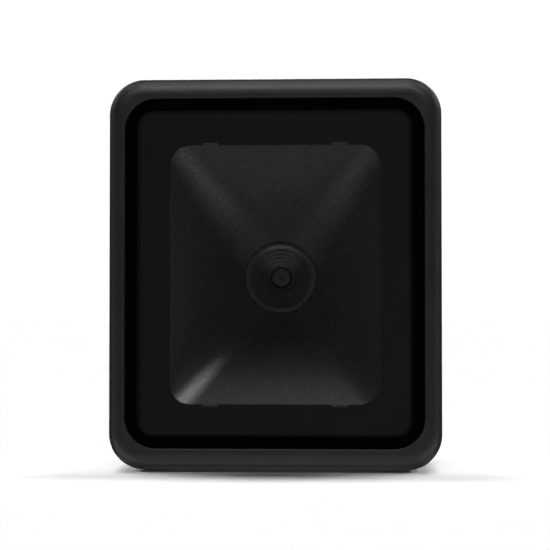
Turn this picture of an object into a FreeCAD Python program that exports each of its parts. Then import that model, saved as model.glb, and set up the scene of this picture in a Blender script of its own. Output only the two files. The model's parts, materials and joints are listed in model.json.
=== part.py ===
import FreeCAD, Part
import math
import os
from collections import namedtuple
from FreeCAD import Vector

# Desktop presentation scanner: a rounded upright box with a flush window in its front.
# Millimetres. +X to the viewer's right as the window faces the viewer, +Y from the window to
# the back, +Z up. The origin is under the middle of the object, on the surface it stands on.

# ---- driving dimensions -------------------------------------------------------------------
WIDTH = 127.0
HEIGHT = 150.0
DEPTH = 80.0
CORNER_R = 13.6
FRONT_EDGE_R = 6.2
REAR_EDGE_R = 5.0
WALL = 2.4
PARTING_Y = 10.0
REAR_WIDTH = 104.0
REAR_TOP_Z = 136.0
FOOT_PROUD = 0.8

GLASS_WIDTH = 113.4
GLASS_HEIGHT = 132.6
GLASS_R = 11.7
GLASS_Z = 75.6
GLASS_THICKNESS = 2.0
GLASS_RECESS = 0.4
GLASS_GAP = 0.25
GLASS_BEVEL = 0.25
SEAT_EDGE_R = 0.3
BAND_WIDTH = 4.2
BAND_INNER_R = 6.6
BAND_THICKNESS = 0.8
LEDGE_THICKNESS = 2.0

OPTICS_Z = 75.2
PLATE_WIDTH = 108.0
PLATE_HEIGHT = 128.0
PLATE_R = 8.0
PLATE_THICKNESS = 1.6
MOUTH_WIDTH = 81.0
MOUTH_HEIGHT = 99.2
MOUTH_R = 8.2
NOTCH_X = 24.7
NOTCH_WIDTH = 6.1
NOTCH_HEIGHT = 1.0

FUNNEL_WALL = 1.6
THROAT_SIDE = 28.9
THROAT_R = 14.4
THROAT_Y = 11.0
HOOD_RIM_Y = 9.8
HOOD_R = 14.3
HOOD_STEPS = 5
HOOD_STEP_PITCH = 1.48
HOOD_RISER_WIDTH = 0.5
HOOD_STEP_DEPTH = 1.1

BUTTON_TRAVEL = 0.7

# ---- planes of constant Y, from the window to the back --------------------------------------
FRONT_Y = -DEPTH / 2
REAR_Y = DEPTH / 2
REAR_WALL_Y = REAR_Y - WALL
GLASS_Y = FRONT_Y + GLASS_RECESS
BAND_Y = GLASS_Y + GLASS_THICKNESS
LEDGE_Y = BAND_Y + BAND_THICKNESS
PLATE_Y = LEDGE_Y + LEDGE_THICKNESS
PLATE_BACK_Y = PLATE_Y + PLATE_THICKNESS
FLANGE_Y = PLATE_BACK_Y + 7.3
FLANGE_THICKNESS = 1.8
LIGHT_BOARD_THICKNESS = 1.2
LIGHT_BOARD_Y = FLANGE_Y - LIGHT_BOARD_THICKNESS
THROAT_PLATE_THICKNESS = 3.0
THROAT_BACK_Y = THROAT_Y + THROAT_PLATE_THICKNESS
CAMERA_BOARD_Y = 27.0
CAMERA_BOARD_THICKNESS = 1.2
CAMERA_BACK_Y = CAMERA_BOARD_Y + CAMERA_BOARD_THICKNESS
MAIN_BOARD_Y = 20.0
MAIN_BOARD_THICKNESS = 1.6
MAIN_BACK_Y = MAIN_BOARD_Y + MAIN_BOARD_THICKNESS
BUTTON_BOARD_Y = 29.0
BUTTON_BOARD_THICKNESS = 1.2
BUTTON_BACK_Y = BUTTON_BOARD_Y + BUTTON_BOARD_THICKNESS

# ---- outlines in planes of constant Y -------------------------------------------------------
Outline = namedtuple("Outline", "width height radius x z")
CASE = Outline(WIDTH, HEIGHT - FOOT_PROUD, CORNER_R, 0.0, (HEIGHT + FOOT_PROUD) / 2)
REAR = Outline(REAR_WIDTH, REAR_TOP_Z - FOOT_PROUD, CORNER_R, 0.0, (REAR_TOP_Z + FOOT_PROUD) / 2)
GLASS = Outline(GLASS_WIDTH, GLASS_HEIGHT, GLASS_R, 0.0, GLASS_Z)
PLATE = Outline(PLATE_WIDTH, PLATE_HEIGHT, PLATE_R, 0.0, GLASS_Z)
MOUTH = Outline(MOUTH_WIDTH, MOUTH_HEIGHT, MOUTH_R, 0.0, OPTICS_Z)
THROAT = Outline(THROAT_SIDE, THROAT_SIDE, THROAT_R, 0.0, OPTICS_Z)
FLANGE = Outline(119.4, 140.0, 9.5, 0.0, CASE.z)
LIGHT_BOARD = Outline(104.0, 124.0, 6.0, 0.0, GLASS_Z)
LIGHT_BOARD_HOLE = Outline(82.0, 100.0, 6.0, 0.0, OPTICS_Z)
CAMERA_BOARD = Outline(46.0, 46.0, 3.0, 0.0, OPTICS_Z)
MAIN_BOARD = Outline(72.0, 38.0, 1.5, 0.0, 27.0)
BUTTON_BOARD = Outline(27.0, 18.0, 1.5, 0.0, 112.0)
BUTTON = Outline(14.0, 7.0, 3.49, 0.0, 112.0)
SOCKET = Outline(15.5, 13.5, 0.6, 0.0, 17.75)
SOCKET_MOUTH = Outline(11.9, 7.2, 0.3, 0.0, 18.6)
LABEL = Outline(50.0, 26.0, 2.0, 0.0, 68.0)

# ---- screw, post and foot places as (x, z) ----------------------------------------------------


def corners(x, z_middle, z_reach):
    """The four points at plus and minus x, z_reach above and below z_middle."""
    return [(sx * x, z_middle + sz * z_reach) for sx in (-1, 1) for sz in (-1, 1)]


HOUSING_SCREWS = corners(43.0, 68.0, 56.0)
CHAMBER_SCREWS = corners(57.6, GLASS_Z, 45.0)
CAMERA_POSTS = corners(18.5, OPTICS_Z, 18.5)
MAIN_BOARD_POSTS = corners(32.5, MAIN_BOARD.z, 15.5)
BUTTON_POSTS = [(-10.5, 106.5), (10.5, 117.5)]
HOLDER_EARS = [(-9.2, OPTICS_Z), (9.2, OPTICS_Z)]
INSERTS = [(-30.0, 92.0), (30.0, 92.0)]
FOOT_X = 46.0
FOOT_R = 5.5
FOOT_THICKNESS = 2.0
FOOT_BEVEL = 0.4
FRONT_FOOT_Y = -25.0
REAR_FOOT_Y = 23.0

# connectors and the flat ribbons between them: centre x, width of the ribbon
CAMERA_LINK_X = -4.0
BUTTON_LINK_X = 8.0
LIGHT_LINK_X = 28.0
LIGHT_LINK_Z = 19.4
CONNECTOR_WINDOW = Outline(16.0, 7.0, 1.0, LIGHT_LINK_X, LIGHT_LINK_Z)
WIDE_RIBBON = 10.0
NARROW_RIBBON = 4.5
RIBBON_THICKNESS = 0.3
CONNECTOR_MARGIN = 1.5
CONNECTOR_HEIGHT = 3.4
CONNECTOR_RISE = 1.8

BUZZER_X = 22.0
BUZZER_Z = 18.0
BUZZER_R = 6.0
BUZZER_HEIGHT = 6.0
BUZZER_PORT_R = 1.2
BUZZER_PORT_DEPTH = 2.0

# socket for a ten-way modular plug
SOCKET_FACE_Y = REAR_Y - 0.6
SOCKET_REACH = 13.0
CONTACT_COUNT = 10
CONTACT_PITCH = 1.02
CONTACT_WIDTH = 0.3
CONTACT_Z = SOCKET_MOUTH.z + SOCKET_MOUTH.height / 2 + 0.4
SOCKET_LATCH = Outline(6.2, 3.0, 0.3, 0.0, SOCKET_MOUTH.z - SOCKET_MOUTH.height / 2 - 1.0)

# screw sizes as (shank radius, head radius, head height)
Screw = namedtuple("Screw", "shank_r head_r head_h")
SCREW_M3 = Screw(1.45, 2.9, 2.0)
SCREW_M26 = Screw(1.25, 2.4, 1.6)
SCREW_M2 = Screw(0.95, 1.9, 1.3)
SCREW_M16 = Screw(0.75, 1.4, 0.9)
HOLE_GAP = 0.05


# ---- shape helpers --------------------------------------------------------------------------
def grown(outline, by):
    """The outline moved outwards by a distance, or inwards if it is negative."""
    return outline._replace(
        width=outline.width + 2 * by,
        height=outline.height + 2 * by,
        radius=max(outline.radius + by, 0.2),
    )


def outline_wire(outline, y):
    """Rounded rectangle as a closed wire in the plane at y."""
    x0 = outline.x - outline.width / 2
    x1 = outline.x + outline.width / 2
    z0 = outline.z - outline.height / 2
    z1 = outline.z + outline.height / 2
    r = outline.radius
    k = r * (1 - math.sqrt(0.5))

    def line(a, b):
        return Part.LineSegment(Vector(a[0], y, a[1]), Vector(b[0], y, b[1])).toShape()

    def arc(a, m, b):
        return Part.Arc(*(Vector(p[0], y, p[1]) for p in (a, m, b))).toShape()

    return Part.Wire(
        [
            line((x0 + r, z0), (x1 - r, z0)),
            arc((x1 - r, z0), (x1 - k, z0 + k), (x1, z0 + r)),
            line((x1, z0 + r), (x1, z1 - r)),
            arc((x1, z1 - r), (x1 - k, z1 - k), (x1 - r, z1)),
            line((x1 - r, z1), (x0 + r, z1)),
            arc((x0 + r, z1), (x0 + k, z1 - k), (x0, z1 - r)),
            line((x0, z1 - r), (x0, z0 + r)),
            arc((x0, z0 + r), (x0 + k, z0 + k), (x0 + r, z0)),
        ]
    )


def prism(outline, y0, y1):
    """Rounded rectangle from y0 to y1."""
    return Part.Face(outline_wire(outline, y0)).extrude(Vector(0, y1 - y0, 0))


def taper(front, y0, back, y1):
    """Straight-walled loft between two outlines."""
    return Part.makeLoft([outline_wire(front, y0), outline_wire(back, y1)], True, True)


def rod(x, z, y0, y1, radius):
    """Cylinder along Y."""
    return Part.makeCylinder(radius, y1 - y0, Vector(x, y0, z), Vector(0, 1, 0))


def block(x, z, width, height, y0, y1):
    """Square-edged block centred on (x, z), from y0 to y1."""
    return Part.makeBox(width, y1 - y0, height, Vector(x - width / 2, y0, z - height / 2))


def turned(x, z, edges):
    """Solid of revolution about the Y direction through (x, z), from edges drawn in (r, y)."""
    face = Part.Face(Part.Wire(edges))
    face.translate(Vector(x, 0, z))
    solid = face.revolve(Vector(x, 0, z), Vector(0, 1, 0), 360)
    return Part.Solid(Part.Shell(solid.Faces)) if solid.ShapeType != "Solid" else solid


def profile(points):
    """Closed outline of straight edges through (r, y) points, for turned()."""
    around = points + points[:1]
    return [
        Part.LineSegment(Vector(a[0], a[1], 0), Vector(b[0], b[1], 0)).toShape()
        for a, b in zip(around, around[1:])
    ]


def edges_at(shape, y):
    """The edges that lie wholly in the plane at y."""
    near = 1e-4
    return [
        e for e in shape.Edges
        if abs(e.BoundBox.YMin - y) < near and abs(e.BoundBox.YMax - y) < near
    ]


def outer_edges_at(shape, y, outline):
    """Of the edges at y, those on the outline itself."""
    far_x = outline.width / 2 - outline.radius - 1e-3
    far_z = outline.height / 2 - outline.radius - 1e-3
    found = []
    for edge in edges_at(shape, y):
        middle = edge.valueAt((edge.FirstParameter + edge.LastParameter) / 2)
        reach_x = abs(middle.x - outline.x)
        reach_z = abs(middle.z - outline.z)
        if reach_x > far_x or reach_z > far_z:
            found.append(edge)
    return found


def first_solid(shape):
    """The one solid in a compound that a fillet or boolean returned."""
    return shape.Solids[0] if len(shape.Solids) == 1 else shape


def rounded(shape, edges, radius):
    return first_solid(shape.makeFillet(radius, edges))


def screw(size, x, z, seat_y, length, heading):
    """Cross-head screw. Its head stands on seat_y and its shank goes along Y by heading."""
    shank_end = seat_y + heading * length
    head_top = seat_y - heading * size.head_h
    shank = rod(x, z, min(seat_y, shank_end), max(seat_y, shank_end), size.shank_r)
    head = rod(x, z, min(seat_y, head_top), max(seat_y, head_top), size.head_r)
    head = rounded(head, edges_at(head, head_top), size.head_h * 0.45)
    slot_floor = head_top + heading * size.head_h * 0.6
    low, high = sorted((head_top - heading, slot_floor))
    slot_width = size.head_r * 0.3
    slot_length = size.head_r * 1.1
    cross = block(x, z, slot_width, slot_length, low, high)
    cross = cross.fuse(block(x, z, slot_length, slot_width, low, high))
    return first_solid(shank.fuse(head).cut(cross).removeSplitter())


def screws(size, places, seat_y, length, heading):
    """Identical screws as one group."""
    return Part.makeCompound([screw(size, x, z, seat_y, length, heading) for x, z in places])


def drilled(shape, places, y0, y1, radius):
    """The shape with a round hole along Y at each place."""
    for x, z in places:
        shape = shape.cut(rod(x, z, y0, y1, radius))
    return shape


def foot_disc(x, y, grow=0.0):
    """Disc of a rubber foot, or with grow its pocket in the bottom of the case."""
    return Part.makeCylinder(FOOT_R + grow, FOOT_THICKNESS, Vector(x, y, 0))


def connector_body(x, z, y0, ribbon, height=CONNECTOR_HEIGHT, rise=CONNECTOR_RISE):
    """Flat ribbon connector standing on y0, with its two end lugs."""
    width = ribbon + 2 * CONNECTOR_MARGIN
    body = block(x, z, width, height, *sorted((y0, y0 + rise)))
    lug = 0.6
    for side in (-1, 1):
        lug_x = x + side * (width + lug) / 2
        body = body.fuse(block(lug_x, z, lug, height * 0.6, *sorted((y0, y0 + rise * 0.7))))
    return first_solid(body.removeSplitter())


def ribbon_band(x, width, route):
    """Flat ribbon in the YZ plane: straight runs through (y, z) points, joined by tangent arcs."""
    points = [Vector(x - width / 2, y, z) for y, z in route]
    edges = []
    start = points[0]
    for before, corner, after in zip(points, points[1:], points[2:]):
        run_in = (before - corner).normalize()
        run_out = (after - corner).normalize()
        turn = math.pi - run_in.getAngle(run_out)
        shorter = min((before - corner).Length, (after - corner).Length)
        cut_back = 0.45 * shorter
        radius = cut_back / math.tan(turn / 2)
        arc_in = corner + run_in * cut_back
        arc_out = corner + run_out * cut_back
        bisector = (run_in + run_out).normalize()
        centre_distance = radius / math.cos(turn / 2)
        arc_middle = corner + bisector * (centre_distance - radius)
        edges.append(Part.LineSegment(start, arc_in).toShape())
        edges.append(Part.Arc(arc_in, arc_middle, arc_out).toShape())
        start = arc_out
    edges.append(Part.LineSegment(start, points[-1]).toShape())
    centre = Part.Wire(edges)
    strip = centre.makeOffset2D(RIBBON_THICKNESS, 0, True, True, False)
    return first_solid(strip.extrude(Vector(width, 0, 0)))


# ---- casing ---------------------------------------------------------------------------------
CHAMBER_POST_R = 3.4
HOUSING_BOSS_R = 4.0
HOUSING_BOSS_Y = -4.0
SEAT_Y = 22.2
SEAT_FLOOR = 2.4
BOSS_GAP = 0.2
BOSS_END_Y = SEAT_Y - SEAT_FLOOR - BOSS_GAP
TUBE_R = 5.2
COUNTERBORE_R = 3.7
RIB_THICKNESS = 2.0
LIP_DEPTH = 2.0
LIP_THICKNESS = 1.1
LIP_GAP = 0.1
REVEAL = 0.4
LEDGE_SETBACK = 0.3
POST_ROOT = 0.5
POST_HOLE_ROOT = 1.0
BOSS_HOLE_ROOT = 4.0
RIB_TO_LIP = 1.0


def front_housing():
    """Deep front shell: rounded rim, window seat, ledge, and the posts that hold the chamber."""
    shell = prism(CASE, FRONT_Y, PARTING_Y)
    shell = rounded(shell, edges_at(shell, FRONT_Y), FRONT_EDGE_R)
    shell = shell.cut(prism(grown(CASE, -WALL), PLATE_Y, PARTING_Y))
    seat = grown(GLASS, GLASS_GAP)
    shell = shell.cut(prism(seat, FRONT_Y - 1, LEDGE_Y))
    shell = shell.cut(prism(grown(GLASS, LEDGE_SETBACK - BAND_WIDTH), LEDGE_Y, PLATE_Y))
    shell = rounded(shell, outer_edges_at(shell, FRONT_Y, seat), SEAT_EDGE_R)

    for x, z in CHAMBER_SCREWS:
        shell = shell.fuse(rod(x, z, PLATE_Y - POST_ROOT, FLANGE_Y, CHAMBER_POST_R))
    inside = grown(CASE, -WALL / 2)
    side = inside.width / 2
    rib_end_y = PARTING_Y - LIP_DEPTH - RIB_TO_LIP
    for x, z in HOUSING_SCREWS:
        shell = shell.fuse(rod(x, z, HOUSING_BOSS_Y, BOSS_END_Y, HOUSING_BOSS_R))
        out = math.copysign(1, x)
        rib_x = (x + out * side) / 2
        shell = shell.fuse(
            block(rib_x, z, side - abs(x), RIB_THICKNESS, HOUSING_BOSS_Y, rib_end_y)
        )
        wall_z = inside.z + math.copysign(inside.height / 2, z - inside.z)
        shell = shell.fuse(
            block(x, (z + wall_z) / 2, RIB_THICKNESS, abs(wall_z - z), HOUSING_BOSS_Y, rib_end_y)
        )
    shell = drilled(
        shell, CHAMBER_SCREWS, PLATE_Y + POST_HOLE_ROOT, FLANGE_Y, SCREW_M26.shank_r + HOLE_GAP
    )
    shell = drilled(
        shell, HOUSING_SCREWS, HOUSING_BOSS_Y + BOSS_HOLE_ROOT, BOSS_END_Y, SCREW_M3.shank_r + HOLE_GAP
    )
    for x in (-FOOT_X, FOOT_X):
        shell = shell.cut(foot_disc(x, FRONT_FOOT_Y, HOLE_GAP))
    return first_solid(shell.removeSplitter())


SOUND_HOLE_R = 0.8
SOUND_HOLE_SPREAD = 3.2


def sound_holes():
    """One hole in the middle and six round it, over the buzzer."""
    spread = SOUND_HOLE_SPREAD
    places = [(BUZZER_X, BUZZER_Z)]
    for i in range(6):
        angle = math.radians(60 * i)
        places.append((BUZZER_X + spread * math.cos(angle), BUZZER_Z + spread * math.sin(angle)))
    return places


BUTTON_HOLE_GAP = 0.3
BUTTON_DISH = 1.2
BUTTON_DISH_GROW = 3.0
INSERT_R = 2.3
INSERT_LENGTH = 5.5
INSERT_BOSS_R = 4.4
LABEL_RECESS = 0.4
LABEL_THICKNESS = 0.2
LABEL_GAP = 0.2
SOCKET_GAP = 0.25
BOARD_POST_R = 3.0
BOARD_HOLE_DEPTH = 9.0
BUTTON_POST_R = 2.5
BUTTON_HOLE_DEPTH = 6.0
INSERT_BOSS_LENGTH = 4.5
CASE_SCREW_CLEARANCE = 0.3


def rear_housing():
    """Tapered back shell with its lip, screw tubes, board posts and openings."""
    outer = taper(CASE, PARTING_Y, REAR, REAR_Y)
    outer = rounded(outer, edges_at(outer, REAR_Y), REAR_EDGE_R)
    inner = taper(grown(CASE, -WALL), PARTING_Y, grown(REAR, -WALL), REAR_WALL_Y)
    shell = outer.cut(inner)
    # a fine groove marks the parting line, and the lip behind it fits inside the front shell
    groove = prism(grown(CASE, 1), PARTING_Y, PARTING_Y + REVEAL)
    shell = shell.cut(groove.cut(prism(grown(CASE, -REVEAL), PARTING_Y, PARTING_Y + REVEAL)))
    lip_outline = grown(CASE, -WALL - LIP_GAP)
    lip = prism(lip_outline, PARTING_Y - LIP_DEPTH, PARTING_Y + 1)
    lip = lip.cut(prism(grown(lip_outline, -LIP_THICKNESS), PARTING_Y - LIP_DEPTH, PARTING_Y + 1))
    shell = shell.fuse(lip)

    for x, z in HOUSING_SCREWS:
        shell = shell.fuse(rod(x, z, SEAT_Y - SEAT_FLOOR, REAR_Y, TUBE_R))
    for x, z in MAIN_BOARD_POSTS:
        shell = shell.fuse(rod(x, z, MAIN_BACK_Y, REAR_WALL_Y + 1, BOARD_POST_R))
    for x, z in BUTTON_POSTS:
        shell = shell.fuse(rod(x, z, BUTTON_BACK_Y, REAR_WALL_Y + 1, BUTTON_POST_R))
    for x, z in INSERTS:
        shell = shell.fuse(rod(x, z, REAR_WALL_Y - INSERT_BOSS_LENGTH, REAR_Y - 1, INSERT_BOSS_R))

    shell = drilled(shell, HOUSING_SCREWS, SEAT_Y, REAR_Y + 1, COUNTERBORE_R)
    shell = drilled(
        shell, HOUSING_SCREWS, SEAT_Y - SEAT_FLOOR - 1, SEAT_Y, SCREW_M3.shank_r + CASE_SCREW_CLEARANCE
    )
    shell = drilled(
        shell, MAIN_BOARD_POSTS, MAIN_BACK_Y, MAIN_BACK_Y + BOARD_HOLE_DEPTH,
        SCREW_M26.shank_r + HOLE_GAP,
    )
    shell = drilled(
        shell, BUTTON_POSTS, BUTTON_BACK_Y, BUTTON_BACK_Y + BUTTON_HOLE_DEPTH,
        SCREW_M2.shank_r + HOLE_GAP,
    )
    shell = drilled(shell, INSERTS, REAR_Y - INSERT_LENGTH, REAR_Y, INSERT_R)
    shell = drilled(shell, sound_holes(), REAR_WALL_Y - 1, REAR_Y + 1, SOUND_HOLE_R)
    shell = shell.cut(prism(grown(SOCKET, SOCKET_GAP), REAR_WALL_Y - 1, REAR_Y + 1))
    shell = shell.cut(prism(grown(BUTTON, BUTTON_HOLE_GAP), REAR_WALL_Y - 1, REAR_Y + 1))
    shell = shell.cut(
        taper(grown(BUTTON, BUTTON_HOLE_GAP + 1), REAR_Y - BUTTON_DISH,
              grown(BUTTON, BUTTON_DISH_GROW), REAR_Y)
    )
    shell = shell.cut(prism(grown(LABEL, LABEL_GAP), REAR_Y - LABEL_RECESS, REAR_Y + 1))
    for x in (-FOOT_X, FOOT_X):
        shell = shell.cut(foot_disc(x, REAR_FOOT_Y, HOLE_GAP))
    return first_solid(shell.removeSplitter())


def foot(x, y):
    """Rubber foot pressed into its pocket, with a bevelled edge where it stands."""
    disc = foot_disc(x, y)
    standing = [e for e in disc.Edges if e.BoundBox.ZMax < 1e-4]
    return first_solid(disc.makeChamfer(FOOT_BEVEL, standing))


def mounting_inserts():
    """Two brass M3 inserts in the back, for a wall or pole bracket."""
    thread_r = 1.25
    groove_width = 0.8
    groove_depth = 0.3
    inserts = []
    for x, z in INSERTS:
        insert = rod(x, z, REAR_Y - INSERT_LENGTH, REAR_Y, INSERT_R)
        for y in (REAR_Y - 3.9, REAR_Y - 1.9):
            groove = rod(x, z, y, y + groove_width, INSERT_R)
            core = rod(x, z, y, y + groove_width, INSERT_R - groove_depth)
            insert = insert.cut(groove.cut(core))
        inserts.append(insert.cut(rod(x, z, REAR_Y - INSERT_LENGTH, REAR_Y, thread_r)))
    return Part.makeCompound(inserts)


def rating_label():
    return prism(LABEL, REAR_Y - LABEL_RECESS, REAR_Y - LABEL_RECESS + LABEL_THICKNESS)


# ---- window ---------------------------------------------------------------------------------
def window_panel():
    """Flush front pane with a small bevel round its front."""
    pane = prism(GLASS, GLASS_Y, BAND_Y)
    return first_solid(pane.makeChamfer(GLASS_BEVEL, edges_at(pane, GLASS_Y)))


def window_adhesive():
    """Black die-cut ring that holds the pane on its ledge and makes its border."""
    ring = prism(GLASS, BAND_Y, LEDGE_Y)
    return ring.cut(prism(grown(GLASS, -BAND_WIDTH)._replace(radius=BAND_INNER_R), BAND_Y, LEDGE_Y))


def notch_blocks(width, height, y0, y1):
    """Blocks in the top and bottom edges of the chamber's mouth, two in each."""
    blocks = []
    for side in (-1, 1):
        edge_z = MOUTH.z + side * MOUTH.height / 2
        for x in (-NOTCH_X, NOTCH_X):
            blocks.append(block(x, edge_z + side * (height / 2 - 0.5), width, height + 1, y0, y1))
    return blocks


def diffuser_plate():
    """Dark matte plate round the chamber's mouth, in front of the light board."""
    plate = prism(PLATE, PLATE_Y, PLATE_BACK_Y).cut(prism(MOUTH, PLATE_Y, PLATE_BACK_Y))
    for notch in notch_blocks(NOTCH_WIDTH, NOTCH_HEIGHT, PLATE_Y, PLATE_BACK_Y):
        plate = plate.cut(notch)
    return first_solid(plate)


# ---- chamber and hood -----------------------------------------------------------------------
SKIRT_THICKNESS = 1.2
SKIRT_GAP = 0.2
THROAT_PLATE_BORDER = 7.0
THROAT_PLATE_R = 4.0
TAB_SIDE_GAP = 0.1
TAB_END_GAP = 0.05
TAB_SETBACK = 0.3
TAB_ROOT = 0.8
CHAMBER_HOLE_R = 1.6
CAMERA_HOLE_DEPTH = 8.0
HOOD_HOLE_ROOT = 0.8
HOOD_SCREW_HOLE_R = 0.95
HOOD_RIM_R = 1.0
HOOD_BACK_WALL = 0.9
CAMERA_POST_R = 2.6
HOOD_HOLE_R = 14.4
HOOD_FLANGE_R = 19.0
HOOD_FLANGE_THICKNESS = 1.2
HOOD_SCREW_RADIUS = 16.9
APERTURE_R = 4.5


def around_optics(radius, count, first_degrees):
    """Places evenly round the optical axis."""
    places = []
    for i in range(count):
        angle = math.radians(first_degrees + 360 * i / count)
        places.append((radius * math.cos(angle), OPTICS_Z + radius * math.sin(angle)))
    return places


HOOD_SCREWS = around_optics(HOOD_SCREW_RADIUS, 3, 90)


def light_chamber():
    """Funnel from the window to the camera, with its flange, skirt, posts and locating tabs."""
    body = taper(grown(MOUTH, FUNNEL_WALL), PLATE_BACK_Y, grown(THROAT, FUNNEL_WALL), THROAT_Y)
    body = body.fuse(prism(FLANGE, FLANGE_Y, FLANGE_Y + FLANGE_THICKNESS))
    skirt = prism(grown(PLATE, -SKIRT_GAP), PLATE_BACK_Y, FLANGE_Y)
    inner_skirt = prism(grown(PLATE, -SKIRT_GAP - SKIRT_THICKNESS), PLATE_BACK_Y, FLANGE_Y)
    body = body.fuse(skirt.cut(inner_skirt))
    throat_plate = grown(THROAT, THROAT_PLATE_BORDER)._replace(radius=THROAT_PLATE_R)
    body = body.fuse(prism(throat_plate, THROAT_Y, THROAT_BACK_Y))
    for x, z in CAMERA_POSTS:
        body = body.fuse(rod(x, z, THROAT_Y, CAMERA_BOARD_Y, CAMERA_POST_R))
    tab_size = (NOTCH_WIDTH - TAB_SIDE_GAP, NOTCH_HEIGHT - TAB_END_GAP)
    for tab in notch_blocks(*tab_size, PLATE_Y + TAB_SETBACK, PLATE_BACK_Y + TAB_ROOT):
        body = body.fuse(tab)
    body = body.cut(taper(MOUTH, PLATE_BACK_Y, THROAT, THROAT_Y))
    body = body.cut(prism(MOUTH, PLATE_Y - 1, PLATE_BACK_Y))
    body = body.cut(rod(0, OPTICS_Z, THROAT_Y, THROAT_BACK_Y, HOOD_HOLE_R))
    body = drilled(body, CHAMBER_SCREWS, FLANGE_Y, FLANGE_Y + FLANGE_THICKNESS, CHAMBER_HOLE_R)
    body = drilled(
        body, CAMERA_POSTS, CAMERA_BOARD_Y - CAMERA_HOLE_DEPTH, CAMERA_BOARD_Y,
        SCREW_M2.shank_r + HOLE_GAP,
    )
    body = drilled(
        body, HOOD_SCREWS, THROAT_Y + HOOD_HOLE_ROOT, THROAT_BACK_Y, SCREW_M16.shank_r + HOLE_GAP
    )
    body = body.cut(prism(CONNECTOR_WINDOW, FLANGE_Y, FLANGE_Y + FLANGE_THICKNESS))
    return first_solid(body.removeSplitter())


def hood_profile():
    """Half section of the hood in (r, y): round rim, stepped cone, rear cone and flange."""
    rim_inner = HOOD_R - 2 * HOOD_RIM_R
    rim_base = HOOD_RIM_Y + HOOD_RIM_R
    points = [(rim_inner, rim_base), (rim_inner - 0.2, rim_base + 0.3)]
    r, y = points[-1]
    for _ in range(HOOD_STEPS):
        points.append((r - HOOD_RISER_WIDTH, y + HOOD_STEP_DEPTH))
        points.append((r - HOOD_STEP_PITCH, y + HOOD_STEP_DEPTH))
        r, y = points[-1]
    points[-1] = (APERTURE_R, y)
    back = y + HOOD_BACK_WALL
    flange_back = THROAT_BACK_Y + HOOD_FLANGE_THICKNESS
    points += [
        (APERTURE_R, back),
        (APERTURE_R + 2.1, back),
        (APERTURE_R + 4.7, flange_back),
        (HOOD_FLANGE_R, flange_back),
        (HOOD_FLANGE_R, THROAT_BACK_Y),
        (HOOD_R, THROAT_BACK_Y),
        (HOOD_R, rim_base),
    ]
    edges = profile(points)[:-1]
    rim = Part.Arc(
        Vector(HOOD_R, rim_base, 0),
        Vector(HOOD_R - HOOD_RIM_R, HOOD_RIM_Y, 0),
        Vector(rim_inner, rim_base, 0),
    )
    return edges + [rim.toShape()], back


def lens_hood():
    """Round stepped hood that looks out of the chamber's throat, with a raised rim."""
    edges, _ = hood_profile()
    hood = turned(0, OPTICS_Z, edges)
    flange_back = THROAT_BACK_Y + HOOD_FLANGE_THICKNESS
    return first_solid(drilled(hood, HOOD_SCREWS, THROAT_BACK_Y, flange_back, HOOD_SCREW_HOLE_R))


# ---- camera ---------------------------------------------------------------------------------
HOOD_BACK_Y = hood_profile()[1]
BARREL_Y = HOOD_BACK_Y + 0.2
LENS_R = 3.9
LENS_FIT = 0.03
HOLDER_NECK_Y = BARREL_Y + 3.0
HOLDER_BASE_Y = CAMERA_BOARD_Y - 2.2
HOLDER_BASE_SIDE = 15.0
HOLDER_BASE_FLOOR = 0.2
HOLDER_NECK_R = 6.6
HOLDER_EAR_R = 2.3
BARREL_END_Y = CAMERA_BOARD_Y - 3.0
BARREL_THREAD_R = 4.9
BARREL_FRONT_R = 5.8
BARREL_FRONT_LENGTH = 1.8
BARREL_BORE_R = 3.0
BARREL_STOP_Y = BARREL_Y + 2.6
BARREL_STOP_R = 0.9
THREAD_FIT = 0.04
FILTER_SIDE = 9.2
FILTER_THICKNESS = 0.4
FILTER_GAP = 0.1


def lens_barrel():
    """Threaded lens tube with a wider front ring, a stop and a rear bore."""
    ring_end_y = BARREL_Y + BARREL_FRONT_LENGTH
    points = [
        (LENS_R + LENS_FIT, BARREL_Y),
        (BARREL_FRONT_R, BARREL_Y),
        (BARREL_FRONT_R, ring_end_y),
        (BARREL_THREAD_R, ring_end_y),
        (BARREL_THREAD_R, BARREL_END_Y),
        (BARREL_BORE_R, BARREL_END_Y),
        (BARREL_BORE_R, BARREL_STOP_Y + 0.8),
        (BARREL_STOP_R, BARREL_STOP_Y + 0.5),
        (BARREL_STOP_R, BARREL_STOP_Y + 0.3),
        (LENS_R + LENS_FIT, BARREL_STOP_Y),
    ]
    return turned(0, OPTICS_Z, profile(points))


def lens_front_element():
    """Plano-convex front glass, domed towards the window."""
    edge_y = BARREL_Y + 1.1
    crown_y = BARREL_Y + 0.25
    back_y = BARREL_Y + 2.4
    slope = (LENS_R ** 2 - (edge_y - crown_y) ** 2) / (2 * (edge_y - crown_y))
    dome_r = slope + edge_y - crown_y
    half_angle = math.asin(LENS_R / dome_r) / 2
    middle = Vector(
        dome_r * math.sin(half_angle), crown_y + dome_r * (1 - math.cos(half_angle)), 0
    )
    dome = Part.Arc(Vector(0, crown_y, 0), middle, Vector(LENS_R, edge_y, 0)).toShape()
    sides = profile([(LENS_R, edge_y), (LENS_R, back_y), (0, back_y), (0, crown_y)])[:-1]
    return turned(0, OPTICS_Z, [dome] + sides)


def lens_rear_element():
    """Flat rear glass in the bore behind the stop."""
    front = BARREL_STOP_Y + 1.0
    return rod(0, OPTICS_Z, front, front + 1.6, BARREL_BORE_R - LENS_FIT)


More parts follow.
